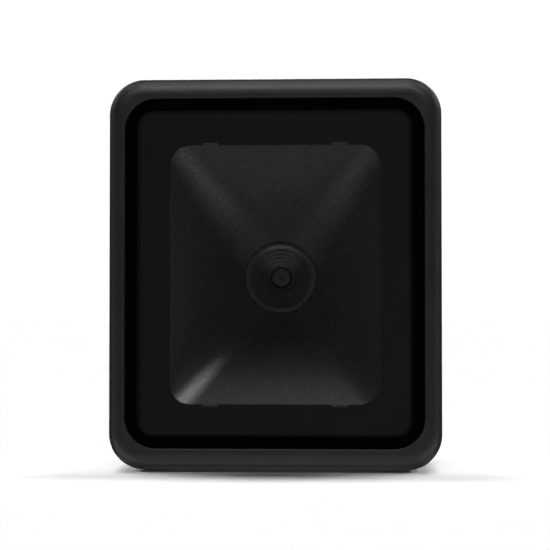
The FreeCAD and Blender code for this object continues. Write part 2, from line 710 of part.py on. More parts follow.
def lens_holder():
    """Holder with a threaded neck for the barrel and a square base over the sensor."""
    well_y = HOLDER_BASE_Y + HOLDER_BASE_FLOOR
    well_side = FILTER_SIDE + 2 * FILTER_GAP
    body = block(0, OPTICS_Z, HOLDER_BASE_SIDE, HOLDER_BASE_SIDE, HOLDER_BASE_Y, CAMERA_BOARD_Y)
    body = body.fuse(rod(0, OPTICS_Z, HOLDER_NECK_Y, HOLDER_BASE_Y, HOLDER_NECK_R))
    for x, z in HOLDER_EARS:
        body = body.fuse(rod(x, z, HOLDER_BASE_Y, CAMERA_BOARD_Y, HOLDER_EAR_R))
    body = body.cut(
        rod(0, OPTICS_Z, HOLDER_NECK_Y, BARREL_END_Y + 0.1, BARREL_THREAD_R + THREAD_FIT)
    )
    body = body.cut(rod(0, OPTICS_Z, BARREL_END_Y, well_y, BARREL_BORE_R - 0.1))
    body = body.cut(block(0, OPTICS_Z, well_side, well_side, well_y, CAMERA_BOARD_Y))
    body = drilled(
        body, HOLDER_EARS, HOLDER_BASE_Y, CAMERA_BOARD_Y, SCREW_M16.shank_r + HOLE_GAP
    )
    return first_solid(body.removeSplitter())


def ir_filter():
    """Square filter glass against the floor of the holder's well."""
    front = HOLDER_BASE_Y + HOLDER_BASE_FLOOR
    return block(0, OPTICS_Z, FILTER_SIDE, FILTER_SIDE, front, front + FILTER_THICKNESS)


def image_sensor():
    """Sensor package with its window side towards the lens."""
    front = CAMERA_BOARD_Y - 1.2
    window_depth = 0.15
    package = block(0, OPTICS_Z, 7.6, 7.0, front, CAMERA_BOARD_Y)
    return package.cut(block(0, OPTICS_Z, 5.2, 4.2, front, front + window_depth))


HOLDER_HOLE_R = 0.95
SMALL_BOARD_HOLE_R = 1.15
MAIN_BOARD_HOLE_R = 1.5


def circuit_board(outline, y0, thickness, hole_places, hole_r):
    """Board with a screw hole over each of its posts."""
    board = prism(outline, y0, y0 + thickness)
    return drilled(board, hole_places, y0, y0 + thickness, hole_r)


def camera_board():
    board = circuit_board(
        CAMERA_BOARD, CAMERA_BOARD_Y, CAMERA_BOARD_THICKNESS, CAMERA_POSTS, SMALL_BOARD_HOLE_R
    )
    return drilled(board, HOLDER_EARS, CAMERA_BOARD_Y, CAMERA_BACK_Y, HOLDER_HOLE_R)


# ---- lighting -------------------------------------------------------------------------------
LIGHT_SIDE_X = 46.5
LIGHT_END_Z = 56.3
LIGHT_SPACINGS_X = (-32.0, -12.0, 12.0, 32.0)
LIGHT_SPACINGS_Z = (-36.0, -12.0, 12.0, 36.0)
EMITTER_HEIGHT = 0.8
EMITTER_WINDOW_R = 1.1
EMITTER_WINDOW_DEPTH = 0.2
STATUS_HEIGHT = 1.4


def illumination_board():
    """Frame-shaped board that lies on the chamber's flange, round the funnel."""
    board = prism(LIGHT_BOARD, LIGHT_BOARD_Y, FLANGE_Y)
    return board.cut(prism(LIGHT_BOARD_HOLE, LIGHT_BOARD_Y, FLANGE_Y))


def light_emitter(x, z):
    """White emitter: a flat package with its round window."""
    face = LIGHT_BOARD_Y - EMITTER_HEIGHT
    package = block(x, z, 3.5, 2.8, face, LIGHT_BOARD_Y)
    return package.cut(rod(x, z, face, face + EMITTER_WINDOW_DEPTH, EMITTER_WINDOW_R))


def illumination_leds():
    """Four emitters along each side of the frame."""
    places = [(s * LIGHT_SIDE_X, GLASS_Z + z) for s in (-1, 1) for z in LIGHT_SPACINGS_Z]
    places += [(x, GLASS_Z + s * LIGHT_END_Z) for s in (-1, 1) for x in LIGHT_SPACINGS_X]
    return Part.makeCompound([light_emitter(x, z) for x, z in places])


def status_led():
    """Read indicator, in the middle of the top row."""
    face = LIGHT_BOARD_Y - STATUS_HEIGHT
    package = block(0, GLASS_Z + LIGHT_END_Z, 3.2, 2.8, face, LIGHT_BOARD_Y)
    return rounded(package, edges_at(package, face), 0.5)


# ---- boards and their parts -------------------------------------------------------------------
def main_board():
    return circuit_board(
        MAIN_BOARD, MAIN_BOARD_Y, MAIN_BOARD_THICKNESS, MAIN_BOARD_POSTS, MAIN_BOARD_HOLE_R
    )


PROCESSOR_X = -19.0
PROCESSOR_Z = 28.0
PROCESSOR_SIDE = 14.0
PROCESSOR_HEIGHT = 1.2
SHIELD_SIDE = 20.0
SHIELD_HEIGHT = 2.6
SHIELD_SHEET = 0.3
SHIELD_VENT_PITCH = 4.0
SHIELD_VENT_R = 0.6
MEMORY_HEIGHT = 1.0
CAPACITOR_PLACES = ((-24.0, 13.6), (-18.6, 13.6), (-13.2, 13.6))
CAPACITOR_R = 2.0
CAPACITOR_HEIGHT = 5.4


def processor():
    top = MAIN_BACK_Y + PROCESSOR_HEIGHT
    return block(PROCESSOR_X, PROCESSOR_Z, PROCESSOR_SIDE, PROCESSOR_SIDE, MAIN_BACK_Y, top)


def shield_can():
    """Folded metal lid over the processor, open towards the board."""
    outside = Outline(SHIELD_SIDE, SHIELD_SIDE, 1.0, PROCESSOR_X, PROCESSOR_Z)
    top = MAIN_BACK_Y + SHIELD_HEIGHT
    can = prism(outside, MAIN_BACK_Y, top)
    can = can.cut(prism(grown(outside, -SHIELD_SHEET), MAIN_BACK_Y, top - SHIELD_SHEET))
    vents = [
        (PROCESSOR_X + SHIELD_VENT_PITCH * i, PROCESSOR_Z + SHIELD_VENT_PITCH * j)
        for i in (-1, 0, 1)
        for j in (-1, 0, 1)
    ]
    return drilled(can, vents, top - SHIELD_SHEET, top, SHIELD_VENT_R)


def memory_chip():
    return block(14.0, 33.5, 11.0, 8.0, MAIN_BACK_Y, MAIN_BACK_Y + MEMORY_HEIGHT)


def board_capacitors():
    """Three can capacitors in a row below the shield can."""
    top = MAIN_BACK_Y + CAPACITOR_HEIGHT
    cans = []
    for x, z in CAPACITOR_PLACES:
        can = rod(x, z, MAIN_BACK_Y, top, CAPACITOR_R)
        cans.append(rounded(can, edges_at(can, top), 0.4))
    return Part.makeCompound(cans)


def interface_socket():
    """Upright modular socket on the main board, its mouth in the back of the case."""
    back_y = SOCKET_FACE_Y - SOCKET_REACH
    body = prism(SOCKET, MAIN_BACK_Y, SOCKET_FACE_Y)
    body = body.cut(prism(SOCKET_MOUTH, back_y, SOCKET_FACE_Y))
    body = body.cut(prism(SOCKET_LATCH, back_y + 4, SOCKET_FACE_Y))
    for i in range(CONTACT_COUNT):
        body = body.cut(block(contact_x(i), CONTACT_Z, 0.5, 1.2, back_y, SOCKET_FACE_Y - 2))
    return first_solid(body)


def contact_x(index):
    return (index - (CONTACT_COUNT - 1) / 2) * CONTACT_PITCH


def socket_contacts():
    """Sprung gold wires along the roof of the socket."""
    back_y = SOCKET_FACE_Y - SOCKET_REACH
    wires = []
    for i in range(CONTACT_COUNT):
        x = contact_x(i) - CONTACT_WIDTH / 2
        side = [
            Vector(x, back_y, CONTACT_Z - 0.2),
            Vector(x, SOCKET_FACE_Y - 3, CONTACT_Z - 0.2),
            Vector(x, SOCKET_FACE_Y - 3, CONTACT_Z),
            Vector(x, back_y, CONTACT_Z + 0.2),
        ]
        face = Part.Face(Part.makePolygon(side + side[:1]))
        wires.append(face.extrude(Vector(CONTACT_WIDTH, 0, 0)))
    return Part.makeCompound(wires)


def buzzer():
    """Round can with the port that its sound leaves by."""
    top = MAIN_BACK_Y + BUZZER_HEIGHT
    can = rod(BUZZER_X, BUZZER_Z, MAIN_BACK_Y, top, BUZZER_R)
    can = rounded(can, edges_at(can, top), 0.6)
    port = rod(BUZZER_X, BUZZER_Z, top - BUZZER_PORT_DEPTH, top + 1, BUZZER_PORT_R)
    return first_solid(can.cut(port))


# ---- function button --------------------------------------------------------------------------
SWITCH_SIDE = 6.0
SWITCH_HEIGHT = 3.5
WELL_GAP = 0.06
WELL_SPARE = 0.2
PLUNGER_R = 1.7
PLUNGER_IN_WELL = 0.9
PLUNGER_TOP_Y = BUTTON_BACK_Y + 5.0
BUTTON_FACE_Y = REAR_Y - 0.4
BUTTON_FLANGE = 1.5
BUTTON_FLANGE_THICKNESS = 1.0
BUTTON_EDGE_R = 0.6
BUTTON_SKIN = 1.2
BUTTON_HOLLOW = 1.4
BUTTON_PAD_R = 1.9


def button_board():
    return circuit_board(
        BUTTON_BOARD, BUTTON_BOARD_Y, BUTTON_BOARD_THICKNESS, BUTTON_POSTS, SMALL_BOARD_HOLE_R
    )


def button_switch():
    """Body of the key switch, with a round well for its plunger."""
    top = BUTTON_BACK_Y + SWITCH_HEIGHT
    body = block(0, BUTTON.z, SWITCH_SIDE, SWITCH_SIDE, BUTTON_BACK_Y, top)
    well_floor = top - PLUNGER_IN_WELL - BUTTON_TRAVEL - WELL_SPARE
    return body.cut(rod(0, BUTTON.z, well_floor, top, PLUNGER_R + WELL_GAP))


def switch_plunger():
    foot_y = BUTTON_BACK_Y + SWITCH_HEIGHT - PLUNGER_IN_WELL
    return rod(0, BUTTON.z, foot_y, PLUNGER_TOP_Y, PLUNGER_R)


def function_button():
    """Cap that fills the hole in the back, held in by a flange behind the wall."""
    cap = prism(BUTTON, PLUNGER_TOP_Y, BUTTON_FACE_Y)
    cap = rounded(cap, edges_at(cap, BUTTON_FACE_Y), BUTTON_EDGE_R)
    flange_top = REAR_WALL_Y - 0.1
    flange_floor = flange_top - BUTTON_FLANGE_THICKNESS
    cap = cap.fuse(prism(grown(BUTTON, BUTTON_FLANGE), flange_floor, flange_top))
    hollow_end_y = PLUNGER_TOP_Y + BUTTON_HOLLOW
    cap = cap.cut(prism(grown(BUTTON, -BUTTON_SKIN), PLUNGER_TOP_Y, hollow_end_y))
    cap = cap.fuse(rod(0, BUTTON.z, PLUNGER_TOP_Y, hollow_end_y + 0.6, BUTTON_PAD_R))
    return first_solid(cap.removeSplitter())


# ---- ribbons and connectors -------------------------------------------------------------------
MAIN_LINK_Z = 42.0
CAMERA_LINK_Z = 56.6
BUTTON_LINK_Z = 105.0
CONNECTOR_SLOT = 0.7


def camera_connectors():
    return Part.makeCompound(
        [
            connector_body(CAMERA_LINK_X, CAMERA_LINK_Z, CAMERA_BACK_Y, WIDE_RIBBON),
            connector_body(CAMERA_LINK_X, MAIN_LINK_Z, MAIN_BACK_Y, WIDE_RIBBON),
        ]
    )


RIBBON_END_RUN = 3.6


def link_route(high_y, top, high_run):
    """Ribbon route from a high connector down to the back of the main board."""
    low_run = RIBBON_END_RUN
    high_y += CONNECTOR_SLOT
    low_y = MAIN_BACK_Y + CONNECTOR_SLOT
    top -= CONNECTOR_HEIGHT / 2
    bottom = MAIN_LINK_Z + CONNECTOR_HEIGHT / 2
    return [(high_y, top), (high_y, top - high_run), (low_y, bottom + low_run), (low_y, bottom)]


def camera_ribbon():
    route = link_route(CAMERA_BACK_Y, CAMERA_LINK_Z, RIBBON_END_RUN)
    return ribbon_band(CAMERA_LINK_X, WIDE_RIBBON, route)


def button_connectors():
    return Part.makeCompound(
        [
            connector_body(BUTTON_LINK_X, BUTTON_LINK_Z, BUTTON_BACK_Y, NARROW_RIBBON),
            connector_body(BUTTON_LINK_X, MAIN_LINK_Z, MAIN_BACK_Y, NARROW_RIBBON),
        ]
    )


def button_ribbon():
    route = link_route(BUTTON_BACK_Y, BUTTON_LINK_Z, 52.3)
    return ribbon_band(BUTTON_LINK_X, NARROW_RIBBON, route)


LIGHT_LINK_HEIGHT = 4.4
LIGHT_LINK_RISE = 3.4


def light_connectors():
    """Two upright connectors that face each other across the inside of the case."""
    return Part.makeCompound(
        [
            connector_body(
                LIGHT_LINK_X, LIGHT_LINK_Z, y0, WIDE_RIBBON, LIGHT_LINK_HEIGHT, rise
            )
            for y0, rise in ((FLANGE_Y, LIGHT_LINK_RISE), (MAIN_BOARD_Y, -LIGHT_LINK_RISE))
        ]
    )


def light_ribbon():
    """Ribbon from the light board to the front of the main board, bowed down a little."""
    start = FLANGE_Y + LIGHT_LINK_RISE
    end = MAIN_BOARD_Y - LIGHT_LINK_RISE
    sag = 5.0
    return ribbon_band(
        LIGHT_LINK_X,
        WIDE_RIBBON,
        [
            (start, LIGHT_LINK_Z),
            (start + 8, LIGHT_LINK_Z),
            ((start + end) / 2, LIGHT_LINK_Z - sag),
            (end - 8, LIGHT_LINK_Z),
            (end, LIGHT_LINK_Z),
        ],
    )


# ---- fasteners --------------------------------------------------------------------------------
def housing_screws():
    return screws(SCREW_M3, HOUSING_SCREWS, SEAT_Y, 14.0, -1)


def chamber_screws():
    return screws(SCREW_M26, CHAMBER_SCREWS, FLANGE_Y + FLANGE_THICKNESS, 8.0, -1)


def hood_screws():
    return screws(SCREW_M16, HOOD_SCREWS, THROAT_BACK_Y + HOOD_FLANGE_THICKNESS, 3.2, -1)


def camera_screws():
    return screws(SCREW_M2, CAMERA_POSTS, CAMERA_BACK_Y, 7.0, -1)


def holder_screws():
    return screws(SCREW_M16, HOLDER_EARS, CAMERA_BACK_Y, 3.0, -1)


def main_board_screws():
    return screws(SCREW_M26, MAIN_BOARD_POSTS, MAIN_BOARD_Y, 8.0, 1)


def button_board_screws():
    return screws(SCREW_M2, BUTTON_POSTS, BUTTON_BOARD_Y, 5.0, 1)


# ---- the parts --------------------------------------------------------------------------------
PARTS = {
    "front_housing": front_housing,
    "rear_housing": rear_housing,
    "window_panel": window_panel,
    "window_adhesive": window_adhesive,
    "diffuser_plate": diffuser_plate,
    "light_chamber": light_chamber,
    "lens_hood": lens_hood,
    "lens_barrel": lens_barrel,
    "lens_front_element": lens_front_element,
    "lens_rear_element": lens_rear_element,
    "lens_holder": lens_holder,
    "ir_filter": ir_filter,
    "image_sensor": image_sensor,
    "camera_board": camera_board,
    "illumination_board": illumination_board,
    "illumination_leds": illumination_leds,
    "status_led": status_led,
    "main_board": main_board,
    "processor": processor,
    "shield_can": shield_can,
    "memory_chip": memory_chip,
    "board_capacitors": board_capacitors,
    "interface_socket": interface_socket,
    "socket_contacts": socket_contacts,
    "buzzer": buzzer,
    "button_board": button_board,
    "button_switch": button_switch,
    "switch_plunger": switch_plunger,
    "function_button": function_button,
    "camera_connectors": camera_connectors,
    "camera_ribbon": camera_ribbon,
    "button_connectors": button_connectors,
    "button_ribbon": button_ribbon,
    "light_connectors": light_connectors,
    "light_ribbon": light_ribbon,
    "mounting_inserts": mounting_inserts,
    "rating_label": rating_label,
    "housing_screws": housing_screws,
    "chamber_screws": chamber_screws,
    "hood_screws": hood_screws,
    "camera_screws": camera_screws,
    "holder_screws": holder_screws,
    "main_board_screws": main_board_screws,
    "button_board_screws": button_board_screws,
    "foot_front_left": lambda: foot(-FOOT_X, FRONT_FOOT_Y),
    "foot_front_right": lambda: foot(FOOT_X, FRONT_FOOT_Y),
    "foot_rear_left": lambda: foot(-FOOT_X, REAR_FOOT_Y),
    "foot_rear_right": lambda: foot(FOOT_X, REAR_FOOT_Y),
}

os.makedirs("parts", exist_ok=True)
for name, make in PARTS.items():
    shape = make()
    solids = shape.Solids
    print(f"{name}: {len(solids)} solid(s), {shape.Volume:.1f} mm3, valid {shape.isValid()}")
    shape.exportStep(os.path.join("parts", name + ".step"))
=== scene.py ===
import json
import math

import bmesh
import bpy
from mathutils import Matrix, Vector


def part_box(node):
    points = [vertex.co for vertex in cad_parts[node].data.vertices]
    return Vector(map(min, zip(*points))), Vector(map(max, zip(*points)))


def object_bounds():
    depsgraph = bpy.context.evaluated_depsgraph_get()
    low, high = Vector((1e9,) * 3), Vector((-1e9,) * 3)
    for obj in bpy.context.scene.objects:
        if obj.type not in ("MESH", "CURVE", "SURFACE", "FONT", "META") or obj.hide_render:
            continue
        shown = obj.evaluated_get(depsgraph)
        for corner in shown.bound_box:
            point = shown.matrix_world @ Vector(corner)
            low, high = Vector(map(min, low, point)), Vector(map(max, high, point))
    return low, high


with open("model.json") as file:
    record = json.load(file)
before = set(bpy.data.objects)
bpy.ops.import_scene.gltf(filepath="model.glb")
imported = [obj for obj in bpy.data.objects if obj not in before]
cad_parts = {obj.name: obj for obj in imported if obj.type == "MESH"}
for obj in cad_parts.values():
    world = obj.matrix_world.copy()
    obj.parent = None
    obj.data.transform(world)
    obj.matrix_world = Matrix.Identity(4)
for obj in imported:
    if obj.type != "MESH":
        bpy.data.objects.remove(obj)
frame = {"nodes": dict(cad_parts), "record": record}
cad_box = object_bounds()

# Metres, in the CAD frame: +X right, +Y from the window to the back, +Z up.
MM = 0.001
NODES = frame["nodes"]
LOW, HIGH = cad_box
WIDTH = HIGH.x - LOW.x
HEIGHT = HIGH.z - LOW.z
FRONT_Y = LOW.y
CENTRE = (LOW + HIGH) / 2


def middle(node):
    low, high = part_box(node)
    return (low + high) / 2


LENS_AXIS = middle("lens_front_element")


# ---- node helpers ---------------------------------------------------------------------------
class Graph:
    """A material's node tree, with short calls for the nodes that the finishes share."""

    def __init__(self, name):
        self.material = bpy.data.materials.new(name)
        self.material.use_nodes = True
        self.tree = self.material.node_tree
        self.tree.nodes.clear()
        self.output = self.tree.nodes.new("ShaderNodeOutputMaterial")
        self.shader = self.tree.nodes.new("ShaderNodeBsdfPrincipled")
        self.link(self.shader.outputs[0], self.output.inputs["Surface"])
        self.place = self.tree.nodes.new("ShaderNodeTexCoord").outputs["Object"]
        self.height = None

    def link(self, a, b):
        self.tree.links.new(a, b)

    def node(self, kind, **settings):
        made = self.tree.nodes.new(kind)
        for key, value in settings.items():
            setattr(made, key, value)
        return made

    def set(self, **values):
        """Plain values on the Principled shader's own sockets, with _ for a space."""
        for key, value in values.items():
            self.shader.inputs[key.replace("_", " ")].default_value = value

    def noise(self, size, detail=3.0, roughness=0.55, place=None, distortion=0.0):
        """Noise whose features are about size metres across."""
        made = self.node("ShaderNodeTexNoise")
        made.inputs["Scale"].default_value = 1.0 / size
        made.inputs["Detail"].default_value = detail
        made.inputs["Roughness"].default_value = roughness
        made.inputs["Distortion"].default_value = distortion
        self.link(place or self.place, made.inputs["Vector"])
        return made.outputs["Fac"]

    def cells(self, size):
        """Distance to the middle of random cells about size metres across."""
        made = self.node("ShaderNodeTexVoronoi", feature="F1")
        made.inputs["Scale"].default_value = 1.0 / size
        made.inputs["Randomness"].default_value = 1.0
        self.link(self.place, made.inputs["Vector"])
        return made.outputs["Distance"]

    def span(self, value, low, high, to_low=0.0, to_high=1.0, smooth=False):
        """Remaps low..high to to_low..to_high."""
        made = self.node("ShaderNodeMapRange")
        made.interpolation_type = "SMOOTHSTEP" if smooth else "LINEAR"
        for key, number in (
            ("From Min", low), ("From Max", high), ("To Min", to_low), ("To Max", to_high)
        ):
            made.inputs[key].default_value = number
        self.link(value, made.inputs["Value"])
        return made.outputs["Result"]

    def maths(self, operation, a, b=None):
        """One Math node on numbers or value sockets."""
        made = self.node("ShaderNodeMath", operation=operation)
        for socket, value in zip(made.inputs, (a, b)):
            if value is None:
                continue
            if isinstance(value, (int, float)):
                socket.default_value = value
            else:
                self.link(value, socket)
        return made.outputs[0]

    def blend(self, share, a, b):
        """Mixes two colours, or a colour and a colour socket, by share."""
        made = self.node("ShaderNodeMix", data_type="RGBA")
        self.link(share, made.inputs["Factor"])
        for socket, value in ((made.inputs[6], a), (made.inputs[7], b)):
            if isinstance(value, (tuple, list)):
                socket.default_value = (*value[:3], 1.0)
            else:
                self.link(value, socket)
        return made.outputs[2]

    def colour(self, socket):
        self.link(socket, self.shader.inputs["Base Color"])

    def rough(self, socket):
        self.link(socket, self.shader.inputs["Roughness"])

    def bump(self, height, depth):
        """Adds a bump of depth metres for a height of 0..1 on top of the bumps so far."""
        made = self.node("ShaderNodeBump")
        made.inputs["Strength"].default_value = 1.0
        made.inputs["Distance"].default_value = depth
        self.link(height, made.inputs["Height"])
        if self.height is not None:
            self.link(self.height, made.inputs["Normal"])
        self.height = made.outputs["Normal"]
        self.link(self.height, self.shader.inputs["Normal"])

    def axis(self, name):
        """The place along one axis, in metres."""
        split = self.node("ShaderNodeSeparateXYZ")
        self.link(self.place, split.inputs[0])
        return split.outputs[name]

    def mapped(self, **settings):
        """The place, scaled or turned by a Mapping node."""
        made = self.node("ShaderNodeMapping")
        for key, value in settings.items():
            made.inputs[key].default_value = value
        self.link(self.place, made.inputs["Vector"])
        return made.outputs[0]

    def lens_radius(self):
        """Distance in metres from the lens's axis, which runs along Y."""
        offset = self.place
        for operation, value in (("SUBTRACT", LENS_AXIS), ("MULTIPLY", (1.0, 0.0, 1.0))):
            step = self.node("ShaderNodeVectorMath", operation=operation)
            step.inputs[1].default_value = value
            self.link(offset, step.inputs[0])
            offset = step.outputs[0]
        length = self.node("ShaderNodeVectorMath", operation="LENGTH")
        self.link(offset, length.inputs[0])
        return length.outputs["Value"]


def tone(colour, factor):
    return tuple(c * factor for c in colour)


# ---- finishes -------------------------------------------------------------------------------
# Each finish takes its slot's name first and gives the Graph of one material. Most of a noise's
# values lie in this span, which a finish stretches to its own lowest and highest value.
NOISE_SPAN = (0.3, 0.7)


def grained(name, colour, grain_size, grain_depth, mottle):
    """Moulded plastic's faint cloudiness and fine spark-eroded grain, with no gloss yet."""
    g = Graph(name)
    g.set(Metallic=0.0, Specular_IOR_Level=0.5)
    cloud = g.noise(14 * MM, 4.0)
    dark, light = tone(colour, 1 - mottle), tone(colour, 1 + mottle)
    g.colour(g.blend(g.span(cloud, *NOISE_SPAN), dark, light))
    coarse = g.noise(grain_size, 2.0, 0.5)
    fine = g.cells(grain_size * 0.6)
    g.bump(g.maths("ADD", g.maths("MULTIPLY", fine, 0.5), coarse), grain_depth)
    return g


def moulded(name, colour, roughness, grain_size, grain_depth):
    """Moulded plastic with an uneven gloss."""
    g = grained(name, colour, grain_size, grain_depth, 0.12)
    gloss = g.noise(5 * MM, 5.0, 0.6)
    g.rough(g.span(gloss, 0.25, 0.75, roughness - 0.05, roughness + 0.05))
    return g


def case_plastic(name):
    """Satin black case: even grain, with edges very slightly polished by handling."""
    g = grained(name, (0.0155, 0.0157, 0.017), 0.22 * MM, 0.004 * MM, 0.08)
    edge = g.node("ShaderNodeNewGeometry").outputs["Pointiness"]
    worn = g.span(edge, 0.52, 0.62, smooth=True)
    smear = g.noise(30 * MM, 3.0, 0.5, distortion=1.5)
    base = g.span(smear, *NOISE_SPAN, 0.40, 0.48)
    g.rough(g.maths("SUBTRACT", base, g.maths("MULTIPLY", worn, 0.06)))
    return g


def chamber_plastic(name):
    """Black plastic with a coarse matte grain that sparkles where light grazes it."""
    g = Graph(name)
    g.set(Metallic=0.0, Specular_IOR_Level=0.5)
    grain = g.noise(0.75 * MM, 2.0, 0.5)
    pits = g.cells(0.6 * MM)
    cloud = g.noise(12 * MM, 3.0)
    speck = g.span(grain, 0.40, 0.62)
    g.colour(g.blend(speck, (0.020, 0.020, 0.020), (0.043, 0.043, 0.0435)))
    gloss = g.span(speck, 0.0, 1.0, 0.58, 0.46)
    uneven = g.span(cloud, *NOISE_SPAN, -0.02, 0.02)
    g.rough(g.maths("ADD", gloss, uneven))
    g.bump(g.maths("ADD", grain, g.maths("MULTIPLY", pits, 0.6)), 0.05 * MM)
    return g


def window_glass(name):
    """Hard-coated pane: clear through, with a faint smoky tint and a soft Fresnel reflection."""
    g = Graph(name)
    clear = g.node("ShaderNodeBsdfTransparent")
    clear.inputs["Color"].default_value = (0.94, 0.945, 0.95, 1.0)
    gloss = g.node("ShaderNodeBsdfGlossy")
    gloss.inputs["Color"].default_value = (0.8, 0.82, 0.86, 1.0)
    smear = g.noise(22 * MM, 4.0, 0.6, distortion=0.8)
    g.link(g.span(smear, 0.35, 0.75, 0.02, 0.07), gloss.inputs["Roughness"])
    facing = g.node("ShaderNodeLayerWeight").outputs["Facing"]
    grazing = g.maths("POWER", facing, 5.0)
    outer = g.maths("SUBTRACT", 1.0, g.node("ShaderNodeNewGeometry").outputs["Backfacing"])
    reflectance = g.span(grazing, 0.0, 1.0, 0.022, 1.0)
    mirror = g.maths("MULTIPLY", reflectance, outer)
    mix = g.node("ShaderNodeMixShader")
    g.link(mirror, mix.inputs["Fac"])
    g.link(clear.outputs[0], mix.inputs[1])
    g.link(gloss.outputs[0], mix.inputs[2])
    g.link(mix.outputs[0], g.output.inputs["Surface"])
    g.tree.nodes.remove(g.shader)
    return g


def black_adhesive(name):
    """Closed-cell foam adhesive, dead black."""
    g = Graph(name)
    g.set(Specular_IOR_Level=0.02)
    cells = g.cells(0.4 * MM)
    g.colour(g.blend(g.span(cells, 0.1, 0.6), (0.0006,) * 3, (0.0016,) * 3))
    g.rough(g.span(cells, 0.0, 0.7, 0.9, 1.0))
    g.bump(cells, 0.02 * MM)
    return g


def smoked_diffuser(name):
    """Dark matte diffuser with an etched face."""
    g = Graph(name)
    g.set(Specular_IOR_Level=0.3)
    etch = g.noise(0.3 * MM, 2.0)
    cloud = g.span(g.noise(25 * MM, 3.0), *NOISE_SPAN)
    g.colour(g.blend(cloud, (0.0095, 0.0095, 0.0095), (0.0113, 0.0113, 0.0111)))
    g.rough(g.span(etch, *NOISE_SPAN, 0.62, 0.78))
    g.bump(etch, 0.006 * MM)
    return g


def turned_metal(name, colour, metallic, roughness):
    """Anodised metal turned about the lens's axis, with fine rings."""
    g = Graph(name)
    g.set(Metallic=metallic)
    ring_pitch = 0.18 * MM
    rings = g.maths("SINE", g.maths("MULTIPLY", g.lens_radius(), 2 * math.pi / ring_pitch))
    cloud = g.noise(2 * MM, 4.0)
    g.colour(g.blend(cloud, tone(colour, 0.85), tone(colour, 1.15)))
    g.rough(g.span(cloud, *NOISE_SPAN, roughness - 0.06, roughness + 0.06))
    g.bump(rings, 0.003 * MM)
    return g


def lens_glass(name, tint):
    """Coated optical glass: dark body with a darker pupil of painted shade, which stands in for
    the dark inside of the lens seen through its middle, under a sharp clear coating.
    """
    g = Graph(name)
    g.set(Metallic=0.0, Roughness=0.03, Specular_IOR_Level=0.6, Coat_Weight=0.6)
    g.set(Coat_Roughness=0.02, IOR=1.6)
    # Painted shade: the glass is darkened about the lens's axis, where one looks into the dark
    # lens.
    painted_shade_inner_radius, painted_shade_outer_radius = 0.4 * MM, 1.3 * MM
    clear_of_painted_shade = g.span(g.lens_radius(), painted_shade_inner_radius, painted_shade_outer_radius, smooth=True)
    body = g.blend(g.noise(1.5 * MM, 2.0), tone(tint, 0.8), tone(tint, 1.1))
    g.colour(g.blend(clear_of_painted_shade, tone(tint, 0.5), body))
    return g


def circuit_board(name):
    """Green solder mask over copper tracks, with scattered plated holes."""
    g = Graph(name)
    g.set(Specular_IOR_Level=0.5)
    bricks = g.node("ShaderNodeTexBrick")
    bricks.inputs["Scale"].default_value = 1.0 / (3.2 * MM)
    bricks.inputs["Mortar Size"].default_value = 0.08
    bricks.inputs["Mortar Smooth"].default_value = 0.1
    g.link(g.mapped(Rotation=(math.pi / 2, 0.0, 0.0)), bricks.inputs["Vector"])
    tracks = bricks.outputs["Fac"]
    vias = g.span(g.cells(2.6 * MM), 0.10, 0.13, 1.0, 0.0)
    mask = g.blend(tracks, (0.006, 0.055, 0.022), (0.012, 0.10, 0.04))
    g.colour(g.blend(vias, mask, (0.45, 0.36, 0.16)))
    g.rough(g.span(g.noise(4 * MM, 3.0), *NOISE_SPAN, 0.28, 0.4))
    g.bump(tracks, 0.03 * MM)
    return g


def banded(name, base, stripe, share, depth=0.0):
    """Stripes 1 mm apart along X, as of a ribbon's conductors or a connector's pins."""
    g = Graph(name)
    g.set(Metallic=0.0)
    pitch = 1.0 * MM
    wave = g.maths("FRACT", g.maths("MULTIPLY", g.axis("X"), 1.0 / pitch))
    off_centre = g.maths("ABSOLUTE", g.maths("SUBTRACT", wave, 0.5))
    lines = g.span(off_centre, share / 2 - 0.02, share / 2, 1.0, 0.0)
    cloud = g.noise(3 * MM, 3.0)
    ground = g.blend(cloud, tone(base, 0.92), tone(base, 1.08))
    g.colour(g.blend(lines, ground, stripe))
    g.rough(g.span(cloud, *NOISE_SPAN, 0.35, 0.48))
    if depth:
        g.bump(lines, depth)
    return g


def brushed(name, colour, roughness):
    """Brushed or plated metal with fine straight scratches."""
    g = Graph(name)
    g.set(Metallic=1.0)
    scratch = g.noise(0.12 * MM, 3.0, place=g.mapped(Scale=(1.0, 1.0, 0.06)))
    g.colour(g.blend(scratch, tone(colour, 0.8), tone(colour, 1.1)))
    g.rough(g.span(scratch, *NOISE_SPAN, roughness - 0.08, roughness + 0.12))
    g.bump(scratch, 0.002 * MM)
    return g


def rubber(name):
    """Black rubber with a little dust in its pores."""
    g = Graph(name)
    g.set(Specular_IOR_Level=0.3)
    dust = g.noise(1.2 * MM, 5.0, 0.7)
    g.colour(g.blend(g.span(dust, 0.45, 0.8), (0.012, 0.012, 0.012), (0.035, 0.034, 0.033)))
    g.rough(g.span(dust, *NOISE_SPAN, 0.75, 0.92))
    g.bump(g.noise(0.3 * MM, 2.0), 0.02 * MM)
    return g


